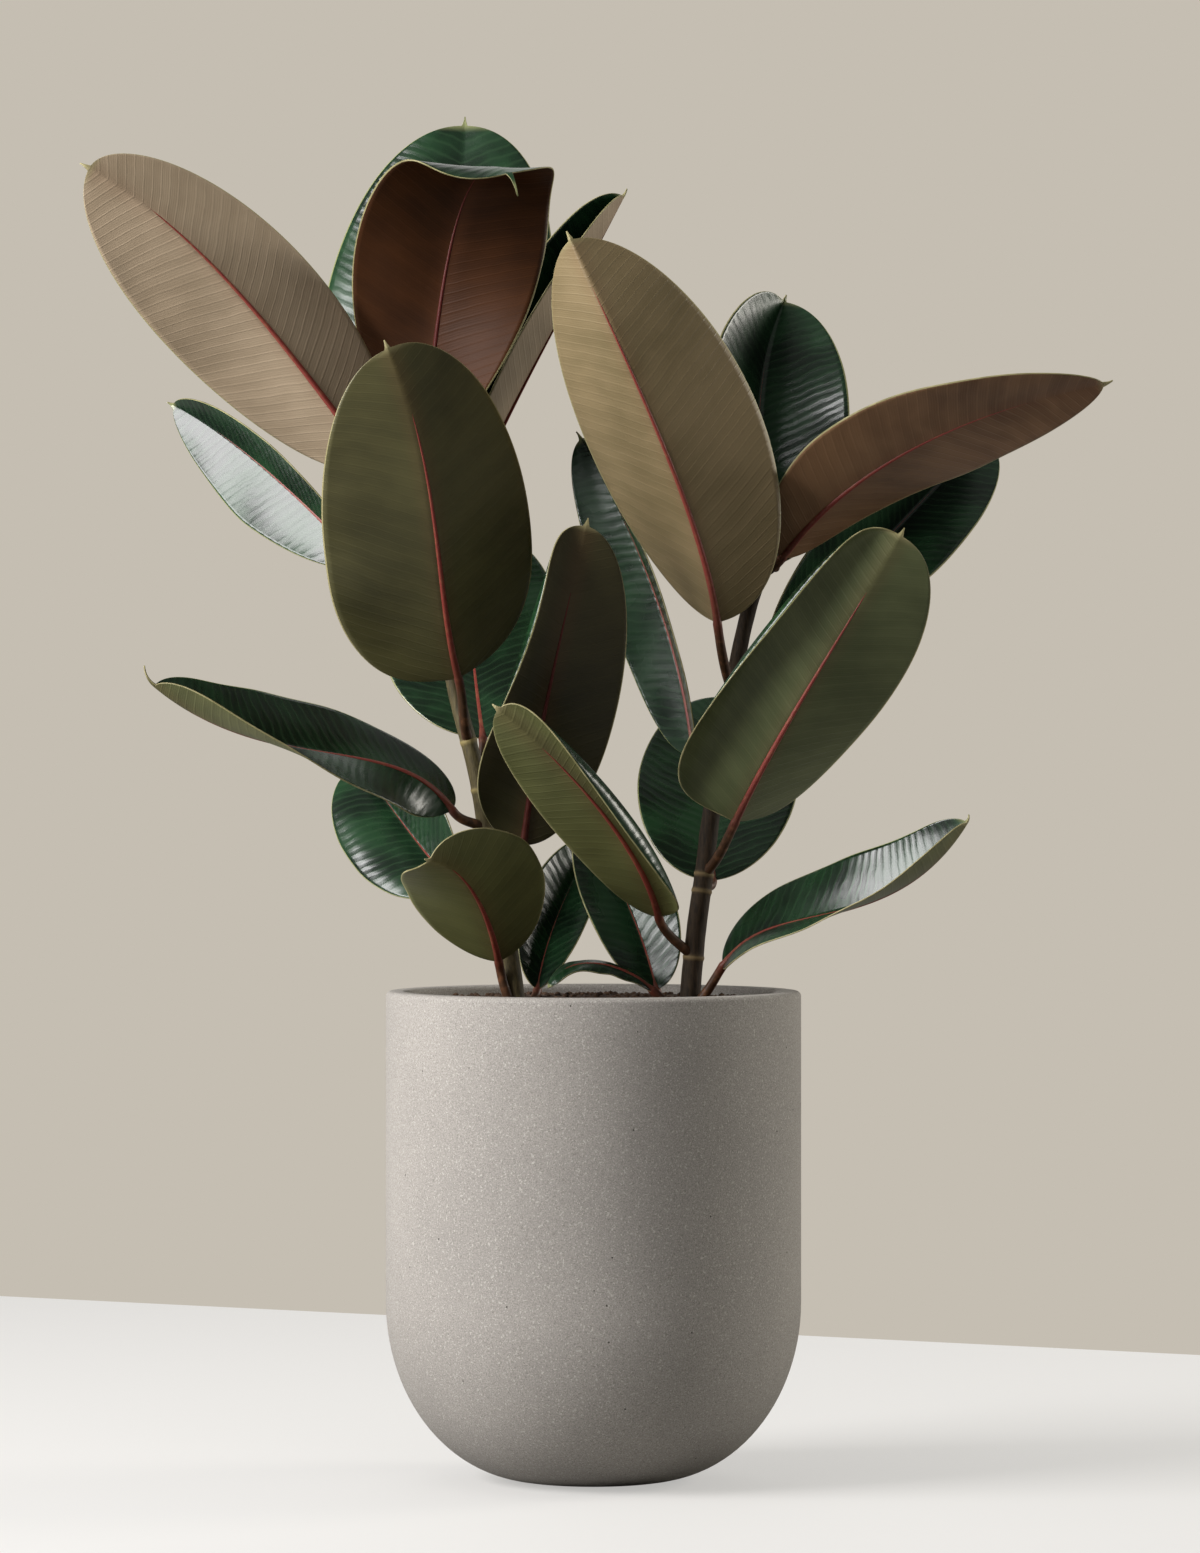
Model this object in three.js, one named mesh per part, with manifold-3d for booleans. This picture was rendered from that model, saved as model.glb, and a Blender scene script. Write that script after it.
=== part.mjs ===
// A potted rubber plant: a round stoneware pot, its soil, two stems and their leaves.
// Millimetres, +Z up, with the origin at the centre of the pot's flat base.
import * as THREE from 'three';
import { mergeVertices } from 'three/addons/utils/BufferGeometryUtils.js';
import Module from 'manifold-3d';

// ---- Driving dimensions ----------------------------------------------------

const CLEARANCE = 0.45;
const SLIVER = 0.03;

// Pot: straight walls on a rounded bottom with a small flat base.
const POT_RADIUS = 125;
const POT_HEIGHT = 294;
const POT_WALL = 13;
const POT_FLOOR = 16;
const POT_BASE_RADIUS = 37;
const POT_CORNER_HEIGHT = 107;
const RIM_ROUND = 3;
const POT_SIDES = 40;

// Soil: a plug that fills the pot, a little below the rim and raised in the middle.
const SOIL_DROP = 6;
const SOIL_MOUND = 4;

// Stems: each goes down into a socket in the soil.
const STEM_BURIED = 60;
const STEM_SIDES = 10;

// Leaves: a blade with a raised midrib underneath, on a round petiole.
const BLADE_THICKNESS = 1.2;
const MIDRIB_DEPTH = 1.4;
const PETIOLE_RADIUS = 2.6;
const TIP_HALF_WIDTH = 0.9;
const DRIP_START = 0.975;
const BLADE_ROWS = 10;
const BLADE_COLUMNS = 3;
const ROLL_START = 0.55;
const BELLY = 0.95;
const FULLNESS = 2;

const SOIL_LEVEL = POT_HEIGHT - SOIL_DROP;

// The plant is laid out from the middle of the soil's edge level, in X, Y and height.
const STEMS = {
  left: {
    radii: [6, 4.2],
    path: [[-47, 0, 0], [-56, 2, 61], [-64, 3, 100], [-71, 4, 139], [-84, 7, 190],
      [-92, 10, 242], [-98, 10, 302]],
  },
  right: {
    radii: [6.5, 4.2],
    path: [[58, 0, 0], [62, 0, 43], [67, 2, 79], [71, 4, 112], [83, 6, 185],
      [95, 8, 240], [110, 8, 276]],
  },
};

// Every leaf: the stem and height it grows from, four points evenly along its midrib,
// the directions its glossy face looks at the base and the tip, its full width, and for
// its left and right halves the fold at the midrib, the curl across and the roll of the
// margin, in degrees, positive towards the glossy face. A tip gives other bends for the
// far end. Fullness squares the outline above 2 and points it below, a belly under 1
// moves the widest part towards the base, and columns are the steps across a half.
const LEAVES = [
  {
    name: 'leaf_left_high',
    stem: 'left',
    node: 276,
    midrib: [[-131, -26, 322], [-177, -44, 382], [-234, -62, 446], [-303, -74, 497]],
    face: [[0, 1, 0], [0, 1, 0]],
    width: 114,
    fold: [30, 36],
    curl: [12, 10],
    tip: { fold: [40, 0] },
  },
  {
    name: 'leaf_left_pale',
    stem: 'left',
    node: 226,
    midrib: [[-140, 22, 265], [-177, 52, 302], [-220, 81, 339], [-264, 111, 367]],
    face: [[-0.54, -0.8, 0.22], [-0.54, -0.8, 0.22]],
    width: 68,
    fold: [4, 52],
    curl: [8, 10],
    fullness: 1.6,
  },
  {
    name: 'leaf_left_front',
    stem: 'left',
    node: 156,
    midrib: [[-81, -20, 194], [-90, -62, 252], [-99, -98, 318], [-122, -120, 389]],
    face: [[0, 1, 0.3], [0, 1, 0.3]],
    width: 136,
    fold: [32, 4],
    curl: [10, 5],
    fullness: 2.2,
    belly: 0.74,
  },
  {
    name: 'leaf_left_hooked',
    stem: 'left',
    node: 292,
    midrib: [[-101, 2, 332], [-87, -16, 446], [-68, -40, 494], [-44, -86, 484]],
    face: [[0, 1, 0], [-0.35, 0.3, 1]],
    width: 112,
    fold: [-55, 34],
    tip: { fold: [2, -8] },
    curl: [4, 4],
    fullness: 2.4,
    belly: 1.2,
  },
  {
    name: 'leaf_left_back_top',
    stem: 'left',
    node: 288,
    midrib: [[-94, 50, 322], [-103, 74, 394], [-91, 96, 468], [-80, 118, 545]],
    face: [[0, -1, 0.3], [0, -1, 0.3]],
    width: 146,
    fold: [3, 15],
    curl: [-42, -15],
  },
  {
    name: 'leaf_left_gutter',
    stem: 'left',
    node: 262,
    midrib: [[-70, 40, 318], [-44, 50, 372], [-12, 52, 432], [21, 54, 494]],
    face: [[-0.3, -1, 0.2], [-0.3, -1, 0.2]],
    width: 88,
    fold: [64, 94],
    tip: { fold: [62, 84] },
  },
  {
    name: 'leaf_left_back_mid',
    stem: 'left',
    node: 127,
    midrib: [[-67, 20, 158], [-73, 62, 200], [-75, 104, 246], [-66, 146, 292]],
    face: [[0, -1, 0.8], [0, -1, 0.8]],
    width: 112,
    fold: [14, 14],
    curl: [-20, -20],
  },
  {
    name: 'leaf_left_inner',
    stem: 'left',
    node: 49,
    midrib: [[-42, -8, 94], [-32, -34, 158], [-18, -56, 224], [-3, -66, 288]],
    face: [[0, 1, 0.2], [0, 1, 0.2]],
    width: 88,
    fold: [12, 6],
    curl: [8, -40],
    tip: { curl: [8, -190] },
    columns: 5,
  },
  {
    name: 'leaf_left_long',
    stem: 'left',
    node: 102,
    midrib: [[-85, -8, 115], [-132, -32, 144], [-198, -64, 157], [-268, -88, 197]],
    face: [[0.2, -0.75, 0.7], [0.2, 0, 1]],
    width: 78,
    fold: [-20, -15],
    tip: { fold: [42, 60] },
  },
  {
    name: 'leaf_left_low_back',
    stem: 'left',
    node: 62,
    midrib: [[-80, 20, 66], [-105, 50, 92], [-127, 82, 119], [-147, 112, 142]],
    face: [[0.3, -1, 0.8], [0.3, -1, 0.8]],
    width: 86,
    fold: [5, 84],
    curl: [-60, 0],
  },
  {
    name: 'leaf_left_small',
    stem: 'left',
    node: -6,
    midrib: [[-57, -12, 24], [-66, -50, 56], [-80, -88, 78], [-98, -114, 86]],
    face: [[0.2, 1, 1], [0.2, 1, 1]],
    width: 88,
    fold: [36, 6],
    curl: [5, 5],
  },
  {
    name: 'leaf_left_soil',
    stem: 'left',
    node: -10,
    midrib: [[-34, 16, 6], [-27, 40, 36], [-15, 62, 66], [0, 84, 95]],
    face: [[0, -1, 0.3], [0, -1, 0.3]],
    width: 52,
    fold: [40, 40],
  },
  {
    name: 'leaf_right_front',
    stem: 'right',
    node: 186,
    midrib: [[74, -28, 227], [54, -62, 298], [20, -86, 378], [-16, -88, 456]],
    face: [[0, 1, 0], [0, 1, 0]],
    width: 132,
    fold: [10, 50],
    curl: [4, 6],
    tip: { fold: [30, 50] },
  },
  {
    name: 'leaf_right_back_top',
    stem: 'right',
    node: 268,
    midrib: [[110, 24, 263], [102, 46, 318], [103, 68, 374], [119, 92, 432]],
    face: [[0, -1, 0.3], [0, -1, 0.3]],
    width: 120,
    fold: [50, 22],
    curl: [5, 5],
    tip: { fold: [60, 22] },
  },
  {
    name: 'leaf_right_high',
    stem: 'right',
    node: 256,
    midrib: [[114, 0, 267], [166, -30, 316], [232, -64, 348], [306, -84, 367]],
    face: [[-0.3, 0.8, 0.5], [-0.3, 0.8, 0.5]],
    width: 102,
    fold: [24, 6],
    curl: [5, 0],
    tip: { fold: [10, -26] },
    fullness: 1.6,
    belly: 0.85,
  },
  {
    name: 'leaf_right_back_side',
    stem: 'right',
    node: 192,
    midrib: [[106, 27, 196], [148, 62, 246], [196, 96, 298], [247, 130, 350]],
    face: [[-0.2, -1, 0.5], [-0.2, -1, 0.5]],
    width: 100,
    fold: [72, 30],
    curl: [5, 5],
    tip: { fold: [72, 5] },
  },
  {
    name: 'leaf_right_olive',
    stem: 'right',
    node: 76,
    midrib: [[85, -22, 108], [114, -50, 164], [148, -74, 222], [183, -88, 281]],
    face: [[0, 1, 0.2], [0, 1, 0.2]],
    width: 112,
    fold: [50, 8],
    curl: [5, 0],
    roll: [0, -60],
    tip: { fold: [4, 14], roll: [0, -220] },
    belly: 0.68,
    columns: 5,
    fullness: 2.4,
  },
  {
    name: 'leaf_right_back_low',
    stem: 'right',
    node: 66,
    midrib: [[72, 18, 72], [74, 56, 112], [82, 96, 150], [95, 138, 184]],
    face: [[0, -1, 0.8], [0, -1, 0.8]],
    width: 100,
    fold: [8, 8],
    curl: [5, 5],
  },
  {
    name: 'leaf_right_narrow',
    stem: 'right',
    node: 119,
    midrib: [[61, 14, 148], [48, 26, 214], [24, 40, 280], [-10, 55, 346]],
    face: [[-0.42, -0.9, 0], [-0.42, -0.9, 0]],
    width: 64,
    fold: [4, 56],
    curl: [14, 14],
  },
  {
    name: 'leaf_right_rolled',
    stem: 'right',
    node: 26,
    midrib: [[39, -16, 51], [18, -56, 96], [-18, -88, 140], [-59, -106, 177]],
    face: [[0, 1, 0.2], [0, 1, 0.2]],
    width: 70,
    fold: [0, 24],
    curl: [-150, 6],
    columns: 5,
  },
  {
    name: 'leaf_right_soil',
    stem: 'right',
    node: -10,
    midrib: [[38, 10, 6], [27, 22, 42], [12, 34, 76], [-6, 44, 110]],
    face: [[0, -1, 0.3], [0, -1, 0.3]],
    width: 62,
    fold: [32, 32],
  },
  {
    name: 'leaf_right_arched',
    stem: 'right',
    node: -12,
    midrib: [[35, -6, 7], [14, -9, 20], [-10, -12, 22], [-27, -16, 8]],
    face: [[0, -0.4, 1], [0, -0.4, 1]],
    width: 18,
    fold: [-10, -10],
  },
  {
    name: 'leaf_right_long',
    stem: 'right',
    node: -6,
    midrib: [[78, -15, 22], [118, -42, 48], [172, -68, 64], [222, -92, 112]],
    face: [[-0.4, -0.55, 0.7], [-0.4, -0.25, 0.85]],
    width: 70,
    fold: [0, 15],
    tip: { fold: [60, 38] },
  },
];

const wasm = await Module();
wasm.setup();

// ---- Closed solids ---------------------------------------------------------

function toSolid(geometry) {
  const merged = mergeVertices(geometry);
  return new wasm.Manifold(new wasm.Mesh({
    numProp: 3,
    vertProperties: new Float32Array(merged.attributes.position.array),
    triVerts: new Uint32Array(merged.index.array),
  }));
}

function toGeometry(solid) {
  const mesh = solid.getMesh();
  const geometry = new THREE.BufferGeometry();
  geometry.setAttribute('position', new THREE.BufferAttribute(mesh.vertProperties, 3));
  geometry.setIndex(new THREE.BufferAttribute(mesh.triVerts, 1));
  const flat = geometry.toNonIndexed();
  flat.computeVertexNormals();
  return flat;
}

// The biggest of the pieces that a cut leaves, without slivers along the cut.
function largestPiece(solid) {
  const pieces = solid.decompose();
  const largest = pieces.reduce((best, piece) => (
    piece.volume() > best.volume() ? piece : best
  ));
  return largest.setTolerance(SLIVER);
}

// A solid skinned over rings that all have the same number of points. The second half of
// a ring is split the other way, so that the two faces of a thin blade stay parallel.
function loft(rings) {
  const count = rings[0].length;
  const points = rings.flat();
  const triangles = [];
  for (let row = 0; row + 1 < rings.length; row += 1) {
    for (let i = 0; i < count; i += 1) {
      const next = (i + 1) % count;
      const a = row * count + i;
      const b = row * count + next;
      if (i < count / 2) {
        triangles.push(a, b, b + count, a, b + count, a + count);
      } else {
        triangles.push(a, b, a + count, b, b + count, a + count);
      }
    }
  }
  const last = (rings.length - 1) * count;
  for (let i = 1; i + 1 < count; i += 1) {
    triangles.push(0, i + 1, i, last, last + i, last + i + 1);
  }
  const geometry = new THREE.BufferGeometry().setFromPoints(points);
  geometry.setIndex(triangles);
  return toSolid(geometry);
}

function ellipseArc(centreX, centreY, radiusX, radiusY, from, to, steps) {
  return Array.from({ length: steps + 1 }, (_, i) => {
    const angle = THREE.MathUtils.degToRad(from + (to - from) * (i / steps));
    return new THREE.Vector2(
      centreX + radiusX * Math.cos(angle),
      centreY + radiusY * Math.sin(angle),
    );
  });
}

function lathe(profile) {
  const geometry = new THREE.LatheGeometry(profile, POT_SIDES);
  geometry.deleteAttribute('normal');
  geometry.deleteAttribute('uv');
  geometry.rotateX(Math.PI / 2);
  return toSolid(geometry);
}

// ---- Pot and soil ----------------------------------------------------------

// The rounded lower corner of a bowl, from its flat bottom out to its side.
function bowlCorner(radius, flat, bottom, top, steps) {
  return ellipseArc(flat, top, radius - flat, top - bottom, -90, 0, steps);
}

function cavityCorner(gap) {
  const radius = POT_RADIUS - POT_WALL - gap;
  const flat = POT_BASE_RADIUS - POT_WALL * 0.5;
  return bowlCorner(radius, flat, POT_FLOOR + gap, POT_CORNER_HEIGHT, 5);
}

function potSolid() {
  const inner = POT_RADIUS - POT_WALL;
  const lip = POT_HEIGHT - RIM_ROUND;
  return lathe([
    new THREE.Vector2(0, 0),
    ...bowlCorner(POT_RADIUS, POT_BASE_RADIUS, 0, POT_CORNER_HEIGHT, 8),
    ...ellipseArc(POT_RADIUS - RIM_ROUND, lip, RIM_ROUND, RIM_ROUND, 0, 90, 2),
    ...ellipseArc(inner + RIM_ROUND, lip, RIM_ROUND, RIM_ROUND, 90, 180, 2),
    ...cavityCorner(0).reverse(),
    new THREE.Vector2(0, POT_FLOOR),
  ]);
}

function soilPlug(grow) {
  return lathe([
    new THREE.Vector2(0, POT_FLOOR + CLEARANCE),
    ...cavityCorner(CLEARANCE),
    new THREE.Vector2(POT_RADIUS - POT_WALL - CLEARANCE, SOIL_LEVEL + grow),
    new THREE.Vector2(POT_RADIUS * 0.5, SOIL_LEVEL + SOIL_MOUND * 0.7 + grow),
    new THREE.Vector2(0, SOIL_LEVEL + SOIL_MOUND + grow),
  ]);
}

// ---- Stems -----------------------------------------------------------------

function toPoint([x, y, height]) {
  return new THREE.Vector3(x, y, SOIL_LEVEL + height);
}

function stemAxis(stem, grow = 0) {
  const above = stem.path.map(toPoint);
  const foot = above[0].clone();
  foot.z -= STEM_BURIED + grow;
  above.at(-1).z += grow;
  return new THREE.CatmullRomCurve3([foot, ...above]);
}

// The point of a stem's axis at a height above the soil, also below its surface.
function stemPoint(stem, height) {
  const samples = stemAxis(stem).getSpacedPoints(200);
  const level = SOIL_LEVEL + height;
  return samples.find((point) => point.z >= level) ?? samples.at(-1);
}

// A round ring across a tangent, in the same order round as the ring of a blade.
function roundRing(centre, tangent, face, radius, sides) {
  const right = new THREE.Vector3().crossVectors(tangent, face).normalize();
  const up = new THREE.Vector3().crossVectors(right, tangent);
  return Array.from({ length: sides }, (_, i) => {
    const angle = (2 * Math.PI * (i + 0.5)) / sides;
    return centre.clone()
      .addScaledVector(right, -radius * Math.cos(angle))
      .addScaledVector(up, radius * Math.sin(angle));
  });
}

function tubeRings(curve, radii, rows, sides, face) {
  return Array.from({ length: rows + 1 }, (_, i) => {
    const radius = THREE.MathUtils.lerp(radii[0], radii[1], i / rows);
    const centre = curve.getPointAt(i / rows);
    return roundRing(centre, curve.getTangentAt(i / rows), face, radius, sides);
  });
}

function stemSolid(stem, grow) {
  const radii = stem.radii.map((radius) => radius + grow);
  const back = new THREE.Vector3(0, 1, 0);
  return loft(tubeRings(stemAxis(stem, grow), radii, 12, STEM_SIDES, back));
}

// ---- Leaves ----------------------------------------------------------------

// A cubic that passes through four points spaced evenly along it.
class FourPointCurve extends THREE.Curve {
  constructor(points) {
    super();
    this.points = points;
  }

  getPoint(t) {
    const a = t - 1 / 3;
    const b = t - 2 / 3;
    const c = t - 1;
    const weights = [-4.5 * a * b * c, 13.5 * t * b * c, -13.5 * t * a * c, 4.5 * t * a * b];
    const point = new THREE.Vector3();
    this.points.forEach((corner, i) => point.addScaledVector(corner, weights[i]));
    return point;
  }
}

// The share of the full half width at t along the blade: an oval, then the drip tip.
function bladeOutline(leaf, t) {
  const { belly = BELLY, fullness = FULLNESS } = leaf;
  const along = Math.abs(2 * Math.min(1, t / DRIP_START) ** belly - 1);
  return (1 - along ** fullness) ** (1 / fullness);
}

// One of a leaf's bends, in degrees, which may change from the base to the tip.
function bendAt(leaf, bend, index, t) {
  const atBase = leaf[bend] ?? [0, 0];
  const atTip = leaf.tip?.[bend] ?? atBase;
  return THREE.MathUtils.lerp(atBase[index], atTip[index], t);
}

// Offsets across and towards the glossy face at each column of one half of a blade.
function crossSection(leaf, side, halfWidth, t) {
  const index = side < 0 ? 0 : 1;
  const fold = bendAt(leaf, 'fold', index, t);
  const curl = bendAt(leaf, 'curl', index, t);
  const roll = bendAt(leaf, 'roll', index, t);
  const reach = halfWidth / (leaf.width / 2);
  const finer = 6;
  const steps = finer * (leaf.columns ?? BLADE_COLUMNS);
  const columns = [];
  let across = 0;
  let raised = 0;
  for (let i = 0; i <= steps; i += 1) {
    const u = i / steps;
    const rolled = Math.max(0, (u - ROLL_START) / (1 - ROLL_START));
    const degrees = fold + (curl * u + roll * rolled) * reach;
    const angle = THREE.MathUtils.degToRad(degrees);
    if (i % finer === 0) {
      columns.push({ across: side * across, raised, angle: side * angle });
    }
    across += (Math.cos(angle) * halfWidth) / steps;
    raised += (Math.sin(angle) * halfWidth) / steps;
  }
  return columns;
}

function bladeRing(leaf, curve, t) {
  const centre = curve.getPointAt(t);
  const tangent = curve.getTangentAt(t);
  const [baseFace, tipFace] = leaf.face.map((face) => new THREE.Vector3(...face).normalize());
  const up = baseFace.lerp(tipFace, t);
  up.addScaledVector(tangent, -up.dot(tangent)).normalize();
  const right = new THREE.Vector3().crossVectors(tangent, up);
  const halfWidth = Math.max(
    THREE.MathUtils.lerp(PETIOLE_RADIUS, TIP_HALF_WIDTH, t),
    (leaf.width / 2) * bladeOutline(leaf, t),
  );
  const leftHalf = crossSection(leaf, -1, halfWidth, t);
  const rightHalf = crossSection(leaf, 1, halfWidth, t);
  const fold = (rightHalf[0].angle - leftHalf[0].angle) / 2;
  const spine = {
    ...rightHalf[0],
    angle: (rightHalf[0].angle + leftHalf[0].angle) / 2,
    mitre: 1 / Math.max(0.4, Math.cos(fold)),
  };
  const columns = [...leftHalf.slice(1).reverse(), spine, ...rightHalf.slice(1)];
  const place = (column, lift) => {
    const reach = lift * (column.mitre ?? 1);
    return centre.clone()
      .addScaledVector(right, column.across - reach * Math.sin(column.angle))
      .addScaledVector(up, column.raised + reach * Math.cos(column.angle));
  };
  const half = BLADE_THICKNESS / 2;
  const upper = columns.map((column) => place(column, half));
  const lower = columns.map((column) => {
    const rib = column.across === 0 ? MIDRIB_DEPTH * (1 - 0.7 * t) : 0;
    return place(column, -half - rib);
  });
  return [...upper, ...lower.reverse()];
}

function bladeRings(leaf, curve) {
  const rings = Array.from({ length: BLADE_ROWS + 1 }, (_, i) => {
    const t = DRIP_START * (0.5 - 0.5 * Math.cos((Math.PI * i) / BLADE_ROWS));
    return bladeRing(leaf, curve, t);
  });
  return [...rings, bladeRing(leaf, curve, 1)];
}

// The petiole leaves the stem sideways and runs into the start of the midrib.
function petioleRings(leaf, curve, sides) {
  const joint = stemPoint(STEMS[leaf.stem], leaf.node);
  const base = curve.getPointAt(0);
  const reach = joint.distanceTo(base) * 0.4;
  const rise = new THREE.Vector3(0, 0, reach * 0.5);
  const out = curve.getPointAt(0.05).sub(joint).setZ(0).normalize();
  const path = new THREE.CubicBezierCurve3(
    joint,
    joint.clone().addScaledVector(out, reach * 0.8).add(rise),
    base.clone().addScaledVector(curve.getTangentAt(0), -reach),
    base,
  );
  const radii = [PETIOLE_RADIUS * 1.25, PETIOLE_RADIUS];
  const face = new THREE.Vector3(...leaf.face[0]);
  return tubeRings(path, radii, 6, sides, face).slice(0, -1);
}

function leafSolid(leaf, stems, soil) {
  const curve = new FourPointCurve(leaf.midrib.map(toPoint));
  const blade = bladeRings(leaf, curve);
  const whole = loft([...petioleRings(leaf, curve, blade[0].length), ...blade]);
  return largestPiece(whole.subtract(stems[leaf.stem]).subtract(soil));
}

// ---- Scene -----------------------------------------------------------------

const LOOKS = {
  stoneware: { color: 0xc4c0b8, roughness: 0.85 },
  soil: { color: 0x3a2f26, roughness: 1 },
  stem: { color: 0x5d5338, roughness: 0.75 },
  leaf: { color: 0x3f4a30, roughness: 0.4 },
};

function makeMesh(name, solid, look) {
  const material = new THREE.MeshStandardMaterial({ ...LOOKS[look], metalness: 0 });
  material.name = look;
  const mesh = new THREE.Mesh(toGeometry(solid), material);
  mesh.name = name;
  return mesh;
}

function buildPlanting() {
  const planting = new THREE.Group();
  planting.name = 'planting';
  const sockets = Object.fromEntries(
    Object.entries(STEMS).map(([side, stem]) => [side, stemSolid(stem, CLEARANCE)]),
  );
  const soil = soilPlug(0).subtract(sockets.left).subtract(sockets.right);
  planting.add(makeMesh('soil', soil, 'soil'));
  for (const [side, stem] of Object.entries(STEMS)) {
    planting.add(makeMesh(`stem_${side}`, stemSolid(stem, 0), 'stem'));
  }
  const ground = soilPlug(CLEARANCE);
  for (const leaf of LEAVES) {
    planting.add(makeMesh(leaf.name, leafSolid(leaf, sockets, ground), 'leaf'));
  }
  return planting;
}

const plant = new THREE.Group();
plant.name = 'potted_rubber_plant';
plant.add(makeMesh('pot', potSolid(), 'stoneware'));
plant.add(buildPlanting());

export default plant;
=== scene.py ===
"""Looks of a potted rubber plant: a stoneware pot, its soil, two stems and their leaves."""

import logging
import math
import random
from collections.abc import Callable
from dataclasses import dataclass
from enum import Enum
from typing import Union

import bmesh
import bpy
from mathutils import Matrix, Vector, noise


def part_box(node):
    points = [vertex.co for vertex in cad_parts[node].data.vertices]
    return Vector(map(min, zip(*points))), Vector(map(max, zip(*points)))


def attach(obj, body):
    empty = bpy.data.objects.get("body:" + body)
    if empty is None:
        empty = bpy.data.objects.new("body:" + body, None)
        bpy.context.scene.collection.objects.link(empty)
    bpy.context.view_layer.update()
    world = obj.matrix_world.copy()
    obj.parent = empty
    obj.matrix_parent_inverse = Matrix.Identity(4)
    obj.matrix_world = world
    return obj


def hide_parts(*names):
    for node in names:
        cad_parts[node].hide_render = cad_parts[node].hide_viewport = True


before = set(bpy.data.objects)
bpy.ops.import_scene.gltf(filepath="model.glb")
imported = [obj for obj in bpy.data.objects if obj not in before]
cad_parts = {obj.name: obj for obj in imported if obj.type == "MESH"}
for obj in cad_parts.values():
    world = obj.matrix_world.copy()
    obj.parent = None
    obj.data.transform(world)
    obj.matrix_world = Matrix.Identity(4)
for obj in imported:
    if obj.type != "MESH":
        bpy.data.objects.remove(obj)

LOG = logging.getLogger("rubber_plant")
MM = 0.001
Point = tuple[float, float, float]
Pair = tuple[float, float]
Colour = tuple[float, float, float]
Socket = bpy.types.NodeSocket
Value = Union[bpy.types.NodeSocket, float, Colour]


class Side(Enum):
    """The stem that a leaf grows from."""

    LEFT = "stem_left"
    RIGHT = "stem_right"


class Tone(Enum):
    """The colour of a leaf's underside. SHADE and UMBER are darkened with painted shade, for leaves that lie
    in shadow.
    """

    TAUPE = "taupe"
    HAZEL = "hazel"
    OLIVE = "olive"
    SAGE = "sage"
    MOSS = "moss"
    SHADE = "shade"
    UMBER = "umber"
    RUSSET = "russet"


def tint(red: int, green: int, blue: int) -> Colour:
    """Turns a colour on the 0 to 255 display scale into linear light.

    Args:
        red: Red on the display scale.
        green: Green on the display scale.
        blue: Blue on the display scale.

    Returns:
        The same colour in linear light.
    """

    def linear(value: float) -> float:
        """Undoes the display curve of one channel."""
        share = value / 255
        return share / 12.92 if share <= 0.04045 else ((share + 0.055) / 1.055) ** 2.4

    return linear(red), linear(green), linear(blue)


# ---- Shader building ---------------------------------------------------------


class Graph:
    """A short way to write the nodes of one tree."""

    def __init__(self, tree: bpy.types.NodeTree) -> None:
        """Takes the tree that the nodes go into."""
        self.tree = tree

    def add(self, kind: str, **settings: object) -> bpy.types.Node:
        """Adds a node and sets its properties."""
        node = self.tree.nodes.new(kind)
        for name, value in settings.items():
            setattr(node, name, value)
        return node

    def feed(self, socket: Socket, value: Value) -> None:
        """Links a socket's source, or sets its value.

        Args:
            socket: The input to fill.
            value: Another node's output, or a plain value.
        """
        if isinstance(value, Socket):
            self.tree.links.new(value, socket)
        elif socket.type == "RGBA":
            socket.default_value = (*value, 1.0)
        else:
            socket.default_value = value

    def math(self, operation: str, *values: Value) -> Socket:
        """Adds a Math node and returns its result."""
        node = self.add("ShaderNodeMath", operation=operation)
        for socket, value in zip(node.inputs, values):
            self.feed(socket, value)
        return node.outputs[0]

    def blend(self, share: Value, low: Value, high: Value) -> Socket:
        """Mixes two colours by a share from 0 to 1."""
        node = self.add("ShaderNodeMix", data_type="RGBA")
        for index, value in ((0, share), (6, low), (7, high)):
            self.feed(node.inputs[index], value)
        return node.outputs[2]

    def span(self, value: Value, low: float, high: float, to: Pair = (0.0, 1.0)) -> Socket:
        """Maps a value smoothly from one span to another, and holds it at both ends."""
        node = self.add("ShaderNodeMapRange", interpolation_type="SMOOTHSTEP")
        for socket, number in zip(node.inputs, (value, low, high, *to)):
            self.feed(socket, number)
        return node.outputs[0]

    def noise(self, where: Socket, scale: Value, detail: float = 3.0, rough: float = 0.5) -> Socket:
        """Adds a noise texture and returns its value."""
        node = self.add("ShaderNodeTexNoise")
        self.feed(node.inputs["Vector"], where)
        self.feed(node.inputs["Scale"], scale)
        self.feed(node.inputs["Detail"], detail)
        self.feed(node.inputs["Roughness"], rough)
        return node.outputs["Fac"]

    def group(self, tree: bpy.types.NodeTree, **values: Value) -> bpy.types.Node:
        """Places a shared effect with its own values."""
        node = self.add("ShaderNodeGroup", node_tree=tree)
        for name, value in values.items():
            self.feed(node.inputs[name.replace("_", " ").title()], value)
        return node


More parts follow.
